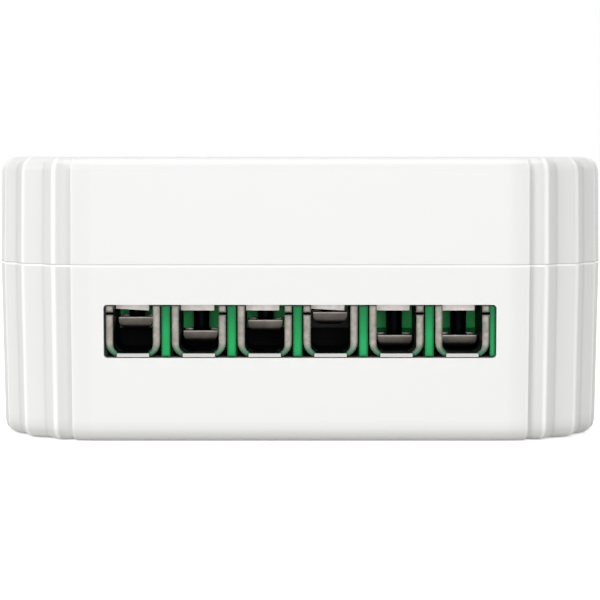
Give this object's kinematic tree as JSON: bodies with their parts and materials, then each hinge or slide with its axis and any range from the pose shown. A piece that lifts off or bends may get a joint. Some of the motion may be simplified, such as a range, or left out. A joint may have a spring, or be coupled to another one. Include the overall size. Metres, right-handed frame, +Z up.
{
  "type": "smart relay module",
  "caption": "Flat square in-wall relay module with fluted corners, a front row of screw-clamp wire terminals, and a push button and light pipe on top.",
  "frame": {"origin": "under the middle of the case, on the plane of its underside", "axes": "+Z up through the case, its shortest way; the wire entries face -Y; X to the right seen from the entries"},
  "size_m": [0.0426, 0.0426, 0.0195],
  "materials": {
    "shell_white": "fine satin moulding",
    "button_white": "satin moulding",
    "clear_plastic": "clear polycarbonate",
    "terminal_green": "satin moulding",
    "cage_steel": "zinc plated sheet",
    "nut_steel": "zinc plated",
    "screw_steel": "zinc plated",
    "foot_steel": "plain sheet",
    "board_green": "solder resist",
    "relay_black": "moulded",
    "moulding_black": "moulded",
    "iron": "plated iron",
    "copper": "enamelled wire",
    "contact_brass": "plated",
    "ferrite": "sintered",
    "winding_tape": "wound tape",
    "sleeve_black": "heat-shrunk sleeve",
    "coating_blue": "dipped coating",
    "shield_tin": "tinned sheet",
    "chip_black": "moulded",
    "antenna_gold": "gold plated",
    "plunger_white": "moulded",
    "led_lens": "clear over phosphor"
  },
  "bodies": {
    "module": {"antenna": "antenna_gold", "base_shell": "shell_white", "bridge_rectifier": "chip_black", "chip_resistors": "chip_black", "circuit_board": "board_green", "clamp_nuts": "nut_steel", "converter_chip": "chip_black", "cover_shell": "shell_white", "input_capacitors": "sleeve_black", "light_pipe": "clear_plastic", "output_capacitor": "sleeve_black", "radio_board": "board_green", "radio_chips": "chip_black", "radio_shield": "shield_tin", "relay_base": "relay_black", "relay_bobbin": "moulding_black", "relay_case": "relay_black", "relay_coil_pins": "contact_brass", "relay_core": "iron", "relay_fixed_contact": "contact_brass", "relay_winding": "copper", "relay_yoke": "iron", "status_led": "led_lens", "switch_body": "chip_black", "terminal_body": "terminal_green", "terminal_cages": "cage_steel", "transformer_bobbin": "moulding_black", "transformer_core": "ferrite", "transformer_pins": "contact_brass", "transformer_winding": "winding_tape", "varistor": "coating_blue", "wire_stops": "cage_steel"},
    "button": {"button_cap": "button_white", "switch_plunger": "plunger_white"},
    "armature": {"relay_armature": "iron", "relay_moving_contact": "contact_brass"},
    "foot_1": {"pressure_foot_1": "foot_steel"},
    "screw_1": {"clamp_screw_1": "screw_steel"},
    "foot_2": {"pressure_foot_2": "foot_steel"},
    "screw_2": {"clamp_screw_2": "screw_steel"},
    "foot_3": {"pressure_foot_3": "foot_steel"},
    "screw_3": {"clamp_screw_3": "screw_steel"},
    "foot_4": {"pressure_foot_4": "foot_steel"},
    "screw_4": {"clamp_screw_4": "screw_steel"},
    "foot_5": {"pressure_foot_5": "foot_steel"},
    "screw_5": {"clamp_screw_5": "screw_steel"},
    "foot_6": {"pressure_foot_6": "foot_steel"},
    "screw_6": {"clamp_screw_6": "screw_steel"}
  },
  "joints": [
    {"name": "foot_1_slide", "type": "slide", "parent": "module", "child": "foot_1", "axis": [0, 0, 1], "range_m": [-0.00133, 0.00041]},
    {"name": "screw_1_turn", "type": "hinge", "parent": "foot_1", "child": "screw_1", "pos_m": [-0.01141, -0.01725, 0.0142], "axis": [0, 0, 1], "range_deg": [-1198, 370]},
    {"name": "foot_2_slide", "type": "slide", "parent": "module", "child": "foot_2", "axis": [0, 0, 1], "range_m": [-0.00038, 0.00136]},
    {"name": "screw_2_turn", "type": "hinge", "parent": "foot_2", "child": "screw_2", "pos_m": [-0.00691, -0.01725, 0.0142], "axis": [0, 0, 1], "range_deg": [-343, 1225]},
    {"name": "foot_3_slide", "type": "slide", "parent": "module", "child": "foot_3", "axis": [0, 0, 1], "range_m": [-0.00112, 0.00062]},
    {"name": "screw_3_turn", "type": "hinge", "parent": "foot_3", "child": "screw_3", "pos_m": [-0.00241, -0.01725, 0.0142], "axis": [0, 0, 1], "range_deg": [-1009, 559]},
    {"name": "foot_4_slide", "type": "slide", "parent": "module", "child": "foot_4", "axis": [0, 0, 1], "range_m": [-0.00167, 0.00007]},
    {"name": "screw_4_turn", "type": "hinge", "parent": "foot_4", "child": "screw_4", "pos_m": [0.00209, -0.01725, 0.0142], "axis": [0, 0, 1], "range_deg": [-1504, 64]},
    {"name": "foot_5_slide", "type": "slide", "parent": "module", "child": "foot_5", "axis": [0, 0, 1], "range_m": [-0.00006, 0.00168]},
    {"name": "screw_5_turn", "type": "hinge", "parent": "foot_5", "child": "screw_5", "pos_m": [0.00659, -0.01725, 0.0142], "axis": [0, 0, 1], "range_deg": [-55, 1513]},
    {"name": "foot_6_slide", "type": "slide", "parent": "module", "child": "foot_6", "axis": [0, 0, 1], "range_m": [-0.00007, 0.00167]},
    {"name": "screw_6_turn", "type": "hinge", "parent": "foot_6", "child": "screw_6", "pos_m": [0.01109, -0.01725, 0.0142], "axis": [0, 0, 1], "range_deg": [-64, 1504]},
    {"name": "button_press", "type": "slide", "parent": "module", "child": "button", "axis": [0, 0, -1], "range_m": [0, 0.00025], "stiffness_N_per_m": 2000},
    {"name": "armature_rock", "type": "hinge", "parent": "module", "child": "armature", "pos_m": [-0.0125, -0.00312, 0.0138], "axis": [1, 0, 0], "range_deg": [0, 2.6], "stiffness_Nm_per_rad": 0.02, "springref_deg": -2.86}
  ],
  "couplings": [
    {"joint": "screw_1_turn", "follows": "foot_1_slide", "rad_per_m": 15708},
    {"joint": "screw_2_turn", "follows": "foot_2_slide", "rad_per_m": 15708},
    {"joint": "screw_3_turn", "follows": "foot_3_slide", "rad_per_m": 15708},
    {"joint": "screw_4_turn", "follows": "foot_4_slide", "rad_per_m": 15708},
    {"joint": "screw_5_turn", "follows": "foot_5_slide", "rad_per_m": 15708},
    {"joint": "screw_6_turn", "follows": "foot_6_slide", "rad_per_m": 15708}
  ]
}
